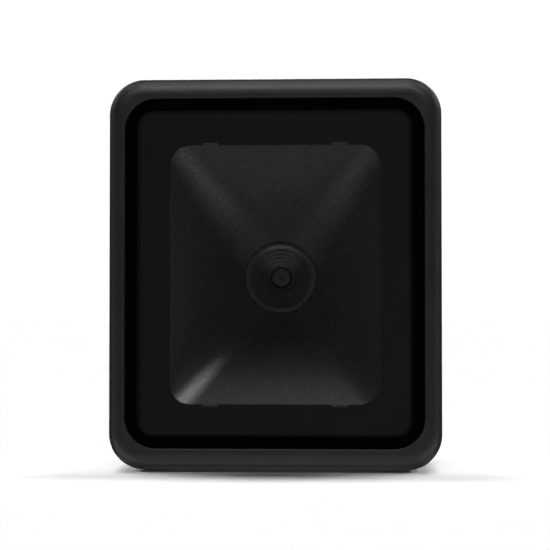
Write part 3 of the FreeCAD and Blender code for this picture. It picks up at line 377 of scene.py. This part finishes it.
def label_film(name):
    """Blank silver-grey polyester label with a fine border line and a brushed print."""
    g = Graph(name)
    g.set(Metallic=0.0, Specular_IOR_Level=0.5)
    low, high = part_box("rating_label")
    centre, half = (low + high) / 2, (high - low) / 2
    distances = []
    for axis, index in (("X", 0), ("Z", 2)):
        offset = g.maths("ABSOLUTE", g.maths("SUBTRACT", g.axis(axis), centre[index]))
        distances.append(g.maths("SUBTRACT", half[index], offset))
    border_inset, border_half = 1.4 * MM, 0.12 * MM
    inset = g.maths("MINIMUM", *distances)
    from_line = g.maths("ABSOLUTE", g.maths("SUBTRACT", inset, border_inset))
    line = g.span(from_line, border_half, 1.5 * border_half, 1.0, 0.0)
    brush = g.noise(0.25 * MM, 3.0, place=g.mapped(Scale=(0.05, 1.0, 1.0)))
    film = g.blend(brush, (0.42, 0.43, 0.44), (0.55, 0.56, 0.57))
    g.colour(g.blend(line, film, (0.05, 0.05, 0.055)))
    g.rough(g.span(brush, *NOISE_SPAN, 0.32, 0.46))
    return g


def emitter(name):
    """Pale package, clouded with yellow phosphor."""
    g = Graph(name)
    warm = g.noise(0.8 * MM, 3.0)
    g.colour(g.blend(warm, (0.75, 0.62, 0.2), (0.85, 0.8, 0.6)))
    g.set(Roughness=0.35)
    g.bump(warm, 0.01 * MM)
    return g


# Every material slot's finish, with the values that it takes after the slot's name.
PLATED = (0.62, 0.61, 0.58)
FINISHES = {
    "case_plastic": (case_plastic,),
    "button_plastic": (moulded, (0.03, 0.031, 0.033), 0.38, 0.3 * MM, 0.002 * MM),
    "window_glass": (window_glass,),
    "black_adhesive": (black_adhesive,),
    "smoked_diffuser": (smoked_diffuser,),
    "chamber_plastic": (chamber_plastic,),
    "barrel_metal": (turned_metal, (0.012, 0.012, 0.013), 0.4, 0.38),
    # Both glass finishes carry the painted shade of a dark pupil about the lens's axis.
    "lens_glass": (lens_glass, (0.056, 0.053, 0.040)),
    "filter_glass": (lens_glass, (0.10, 0.25, 0.24)),
    "holder_plastic": (moulded, (0.02, 0.02, 0.02), 0.5, 0.2 * MM, 0.004 * MM),
    "chip_plastic": (moulded, (0.02, 0.02, 0.022), 0.55, 0.15 * MM, 0.003 * MM),
    "circuit_board": (circuit_board,),
    "emitter_plastic": (emitter,),
    "shield_steel": (brushed, PLATED, 0.34),
    "capacitor_aluminium": (brushed, (0.7, 0.71, 0.72), 0.28),
    "socket_plastic": (moulded, (0.013, 0.013, 0.013), 0.34, 0.3 * MM, 0.002 * MM),
    "gold_contacts": (brushed, (0.83, 0.6, 0.25), 0.25),
    "connector_plastic": (banded, (0.6, 0.56, 0.46), (0.5, 0.5, 0.48), 0.35, 0.05 * MM),
    "ribbon_film": (banded, (0.62, 0.65, 0.70), (0.42, 0.44, 0.47), 0.6),
    "insert_brass": (brushed, (0.66, 0.47, 0.2), 0.35),
    "label_film": (label_film,),
    "black_screws": (brushed, (0.03, 0.03, 0.032), 0.4),
    "bright_screws": (brushed, PLATED, 0.32),
    "foot_rubber": (rubber,),
}


def dress_nodes():
    """Gives every CAD node the finish of its material slot."""
    made = {}
    for part in frame["record"]["subparts"]:
        slot = part["material_slot"]
        if slot not in made:
            finish, *values = FINISHES[slot]
            made[slot] = finish(slot, *values).material
        mesh = NODES[part["node"]].data
        mesh.materials.clear()
        mesh.materials.append(made[slot])


# ---- studio ---------------------------------------------------------------------------------
# Soft round lamps on a sphere about the object: elevation, azimuth (0 is in front, positive to
# the object's right) and strength in watts. Each table lights its own group of nodes, so that
# the case, the plate and the deep chamber can each be exposed as a studio would mask them.
LAMP_DISTANCE = 1.6
NEUTRAL, COOL = (1.0, 1.0, 1.0), (0.86, 0.92, 1.14)
CASE_LAMP_SIZE = 0.6
CASE_LAMPS = (
    (90, 0, 0.8),
    (78, -60, 0.8),
    (78, 60, 0.5),
    (78, 180, 1.2),
    (60, -90, 1.9),
    (60, 0, 5.7),
    (60, 90, 2.6),
    (40, -20, 2.6),
    (40, 20, 2.3),
    (30, -110, 0.9),
    (30, 110, 1.5),
    (30, -150, 1.8),
    (30, 150, 1.8),
    (20, 180, 6.0),
    (-25, -40, 0.2),
    (-25, 0, 1.5),
    (-25, 40, 1.0),
    (-45, -50, 3.1),
    (-45, 50, 2.5),
    (-60, 0, 1.1),
    (-78, 0, 0.5),
    (-60, 180, 0.45),
    (-45, -115, 0.9),
    (-45, 115, 1.3),
)
CASE_SIDE_LAMPS = (
    (20, -120, 0.5),
    (20, 120, 1.0),
    (0, -90, 0.4),
    (0, 90, 0.5),
    (-25, -80, 2.8),
    (-25, 80, 2.5),
)
PLATE_LAMP_SIZE = 0.3
PLATE_LAMPS = ((18, -25, 1.2), (18, 25, 2.1), (-14, -25, 2.0), (-14, 25, 3.3))
CHAMBER_LAMP_SIZE = 0.45
CHAMBER_LAMPS = (
    (82, 40, 10.9),
    (72, 20, 4.0),
    (72, 60, 8.0),
    (30, -30, 0.2),
    (30, 0, 2.1),
    (30, 30, 1.3),
    (-25, -60, 0.8),
    (-25, -20, 3.1),
    (-25, 60, 0.8),
    (-40, -30, 3.4),
    (-40, 30, 4.2),
    (-55, -60, 2.2),
    (-55, 60, 4.0),
)
HOOD_LAMP_DISTANCE = 0.6
HOOD_LAMP_SIZE = 0.12
HOOD_LAMPS = (
    (-75, -30, 0.16),
    (-75, 30, 0.16),
    (-35, -50, 0.25),
    (-35, 50, 0.25),
    (0, -75, 0.19),
    (0, 75, 0.19),
    (25, -60, 0.17),
    (25, 60, 0.17),
    (25, 0, 0.17),
    (70, 0, 0.11),
)
# A tiny spot just inside the hood's bottom rim, so the steps above the lens catch light. Both
# places are measured from the frame's Z axis, up at the lens's height.
STEP_LIGHT_PLACE = Vector((0.0, 6 * MM, -12 * MM))
STEP_LIGHT_AIM = Vector((0.0, 13 * MM, 9 * MM))
STEP_LIGHT_WATTS = 0.0075
STEP_LIGHT_CONE = math.radians(56)
STEP_LIGHT_RADIUS = 0.0015
LENS_LAMP_SIZE = 0.3
LENS_LAMPS = ((50, 0, 0.9), (0, 40, 0.9), (-30, 0, 0.9))
# One flat beam that grazes the valley in the chamber's lower left corner. It points at a place
# on the valley's line, a little way out in front of the chamber's mouth.
VALLEY_MOUTH = Vector((-32.1 * MM, -29 * MM, 30.6 * MM))
VALLEY_COURSE = Vector((17.5, 26.0, 21.0)).normalized()
BEAM_LEAD = 27 * MM
BEAM_TARGET = VALLEY_MOUTH - BEAM_LEAD * VALLEY_COURSE
BEAM_DISTANCE = 0.5
BEAM_FROM = (58, 45)
BEAM_WATTS = 13.2
BEAM_CONE = math.radians(12.2)
BEAM_FLATNESS = 0.1
BEAM_LAMP_RADIUS = 0.0015
# Parallel lights on the floor alone, leaning back and to the sides: degrees, share.
FLOOR_LEAN_BACK = 12.0
FLOOR_SUNS = ((-24.0, 0.26), (-10.0, 0.277), (0.0, 0.07), (10.0, 0.277), (24.0, 0.26))
FLOOR_SUN_SPREAD = math.radians(12)
# Soft spots on the floor that open the ends of the case's shadow: elevation, azimuth, watts.
FLOOR_SIDE_SPOTS = ((28, -100, 4.26), (28, 100, 4.26), (40, -60, 3.35), (40, 60, 3.35))
FLOOR_SIDE_AIM = Vector((68 * MM, FRONT_Y + 28 * MM, 0.0))
FLOOR_SIDE_DISTANCE = 0.5
FLOOR_SIDE_CONE = math.radians(14)
FLOOR_SIDE_RADIUS = 0.03
FLOOR_FRONT_AIM = Vector((78 * MM, FRONT_Y - 20 * MM, 0.0))
FLOOR_FRONT_REACH = Vector((0.0, -0.5, 0.6))
FLOOR_FRONT_WATTS = 3.4
FLOOR_FRONT_CONE = math.radians(12)
FLOOR_FRONT_RADIUS = 0.02
HOOD_NODES = ("lens_hood", "lens_barrel")
LENS_NODES = ("lens_front_element", "lens_rear_element", "ir_filter", "lens_holder")
PLATE_NODES = ("diffuser_plate", "window_adhesive")
FLOOR_SIZE = 400.0
FLOOR_WHITE = (0.92, 0.92, 0.92, 1.0)
WHITE = (1.0, 1.0, 1.0, 1.0)
FILL_STRENGTH = 0.012
BACKDROP_STRENGTH = 1.05
# The camera looks at the middle of the case's widest section, just behind its front edge, and
# the case's width there fills this share of the view.
CAMERA_SECTION_DEPTH = 7 * MM
CAMERA_ELEVATION = -1.6
CAMERA_AZIMUTH = 3.0
CAMERA_DISTANCE = 0.657
CAMERA_SENSOR = 36.0
CAMERA_CLIP = (0.01, 100.0)
CASE_SHARE_OF_VIEW = 0.604182


def group(name, objects):
    """A collection that is linked to no scene, for the lights that name it."""
    made = bpy.data.collections.new(name)
    for obj in objects:
        made.objects.link(obj)
    return made


def aim(obj, target):
    """Turns a lamp or a camera, which look along their own -Z, to the target."""
    obj.rotation_mode = "QUATERNION"
    obj.rotation_quaternion = (Vector(target) - obj.location).to_track_quat("-Z", "Y")


def direction(elevation, azimuth):
    """Unit vector out from the object, from degrees; azimuth 0 is in front of the window."""
    e, a = math.radians(elevation), math.radians(azimuth)
    return Vector((math.sin(a) * math.cos(e), -math.cos(a) * math.cos(e), math.sin(e)))


def lamp(name, kind, place, target, watts, receivers, tint=NEUTRAL):
    """One light of any kind that falls on the receivers alone."""
    data = bpy.data.lights.new(name, kind)
    data.energy = watts
    data.color = tint
    made = bpy.data.objects.new(name, data)
    bpy.context.scene.collection.objects.link(made)
    made.location = place
    aim(made, target)
    made.visible_camera = False
    made.light_linking.receiver_collection = receivers
    return made


def lamps(prefix, table, size, receivers, tint=NEUTRAL, target=CENTRE, distance=LAMP_DISTANCE):
    """A disk lamp for each row of a table."""
    made = []
    for index, (elevation, azimuth, watts) in enumerate(table):
        place = target + distance * direction(elevation, azimuth)
        light = lamp(f"{prefix}_{index}", "AREA", place, target, watts, receivers, tint)
        light.data.shape = "DISK"
        light.data.size = size
        made.append(light)
    return made


def soft_spot(name, place, target, watts, cone, radius, receivers):
    """A spot that fades from its middle to its rim."""
    made = lamp(name, "SPOT", place, target, watts, receivers)
    made.data.spot_size = cone
    made.data.spot_blend = 1.0
    made.data.shadow_soft_size = radius
    return made


def valley_beam(receivers):
    """Flat spot whose long side lies along the chamber's lower left valley."""
    towards = direction(*BEAM_FROM)
    place = BEAM_TARGET + BEAM_DISTANCE * towards
    beam = soft_spot(
        "valley_beam", place, BEAM_TARGET, BEAM_WATTS, BEAM_CONE, BEAM_LAMP_RADIUS, receivers
    )
    along = (VALLEY_COURSE - VALLEY_COURSE.dot(towards) * towards).normalized()
    across = along.cross(towards)
    beam.rotation_quaternion = Matrix((across, along, towards)).transposed().to_quaternion()
    beam.scale = (BEAM_FLATNESS, 1.0, 1.0)


def light_object():
    """Lamps for the case, the plate, the chamber, the hood and the lens.

    The hood's lamps are shaded by the hood and the lens alone, as if the chamber were open.
    """
    masked = {"light_chamber", "window_panel", *HOOD_NODES, *LENS_NODES, *PLATE_NODES}
    case = group("case_lit", [obj for name, obj in NODES.items() if name not in masked])
    plate = group("plate_lit", [NODES[name] for name in PLATE_NODES])
    chamber = group("chamber_lit", [NODES["light_chamber"]])
    hood = group("hood_lit", [NODES[name] for name in HOOD_NODES])
    lens = group("lens_lit", [NODES[name] for name in LENS_NODES])
    hood_shade = group("hood_shade", [NODES[name] for name in (*HOOD_NODES, *LENS_NODES)])
    lamps("case_lamp", CASE_LAMPS, CASE_LAMP_SIZE, case)
    lamps("case_side_lamp", CASE_SIDE_LAMPS, CASE_LAMP_SIZE, case, COOL)
    lamps("plate_lamp", PLATE_LAMPS, PLATE_LAMP_SIZE, plate)
    lamps("chamber_lamp", CHAMBER_LAMPS, CHAMBER_LAMP_SIZE, chamber)
    near = {"target": LENS_AXIS, "distance": HOOD_LAMP_DISTANCE}
    for light in lamps("hood_lamp", HOOD_LAMPS, HOOD_LAMP_SIZE, hood, **near):
        light.light_linking.blocker_collection = hood_shade
    lens_height = Vector((0.0, 0.0, LENS_AXIS.z))
    step_light = soft_spot(
        "step_light",
        lens_height + STEP_LIGHT_PLACE,
        lens_height + STEP_LIGHT_AIM,
        STEP_LIGHT_WATTS,
        STEP_LIGHT_CONE,
        STEP_LIGHT_RADIUS,
        hood,
    )
    step_light.light_linking.blocker_collection = hood_shade
    for light in lamps("lens_lamp", LENS_LAMPS, LENS_LAMP_SIZE, lens, **near):
        light.visible_glossy = False
    valley_beam(chamber)


def light_floor(table):
    """Parallel lights from above and behind, and soft spots that open the shadow's ends."""
    lit = group("floor_lit", [table])
    back = math.tan(math.radians(FLOOR_LEAN_BACK))
    for index, (lean, share) in enumerate(FLOOR_SUNS):
        place = Vector((math.tan(math.radians(lean)), back, 1.0))
        sun = lamp(f"floor_sun_{index}", "SUN", place, (0, 0, 0), math.pi * share, lit)
        sun.data.angle = FLOOR_SUN_SPREAD
    for index, (elevation, azimuth, watts) in enumerate(FLOOR_SIDE_SPOTS):
        target = FLOOR_SIDE_AIM.copy()
        target.x = math.copysign(target.x, azimuth)
        place = target + FLOOR_SIDE_DISTANCE * direction(elevation, azimuth)
        name = f"floor_side_{index}"
        soft_spot(name, place, target, watts, FLOOR_SIDE_CONE, FLOOR_SIDE_RADIUS, lit)
    for side in (-1, 1):
        target = Vector((side * FLOOR_FRONT_AIM.x, FLOOR_FRONT_AIM.y, 0.0))
        place = target + FLOOR_FRONT_REACH
        name = f"floor_front_{side}"
        soft_spot(
            name, place, target, FLOOR_FRONT_WATTS, FLOOR_FRONT_CONE, FLOOR_FRONT_RADIUS, lit
        )


def floor():
    """Plain white table that runs out of sight."""
    mesh = bpy.data.meshes.new("floor")
    shape = bmesh.new()
    bmesh.ops.create_grid(shape, x_segments=1, y_segments=1, size=FLOOR_SIZE)
    shape.to_mesh(mesh)
    shape.free()
    table = bpy.data.objects.new("floor", mesh)
    bpy.context.scene.collection.objects.link(table)
    g = Graph("floor_white")
    g.set(Base_Color=FLOOR_WHITE, Roughness=1.0, Specular_IOR_Level=0.0)
    mesh.materials.append(g.material)
    table.visible_glossy = False
    table.visible_diffuse = False
    table.visible_transmission = False
    table.visible_shadow = False
    return table


def background(tree, strength):
    made = tree.nodes.new("ShaderNodeBackground")
    made.inputs["Color"].default_value = WHITE
    made.inputs["Strength"].default_value = strength
    return made.outputs[0]


def world_light():
    """White backdrop to the eye, and only a dim fill for the object itself."""
    world = bpy.data.worlds.new("studio")
    bpy.context.scene.world = world
    world.use_nodes = True
    tree = world.node_tree
    tree.nodes.clear()
    path = tree.nodes.new("ShaderNodeLightPath")
    mix = tree.nodes.new("ShaderNodeMixShader")
    out = tree.nodes.new("ShaderNodeOutputWorld")
    tree.links.new(path.outputs["Is Camera Ray"], mix.inputs["Fac"])
    tree.links.new(background(tree, FILL_STRENGTH), mix.inputs[1])
    tree.links.new(background(tree, BACKDROP_STRENGTH), mix.inputs[2])
    tree.links.new(mix.outputs[0], out.inputs["Surface"])


def camera():
    """Long lens close to square on: a little to the right of the object and below its middle."""
    section = Vector((0.0, FRONT_Y + CAMERA_SECTION_DEPTH, HEIGHT / 2))
    data = bpy.data.cameras.new("camera")
    data.sensor_width = CAMERA_SENSOR
    data.clip_start, data.clip_end = CAMERA_CLIP
    data.lens = CAMERA_SENSOR * CAMERA_DISTANCE * CASE_SHARE_OF_VIEW / WIDTH
    made = bpy.data.objects.new("camera", data)
    bpy.context.scene.collection.objects.link(made)
    made.location = section + CAMERA_DISTANCE * direction(CAMERA_ELEVATION, CAMERA_AZIMUTH)
    aim(made, section)
    bpy.context.scene.camera = made


camera()
world_light()
dress_nodes()
light_object()
light_floor(floor())

view = bpy.context.scene.view_settings
view.view_transform = "Standard"
view.look = "None"

bpy.context.view_layer.update()
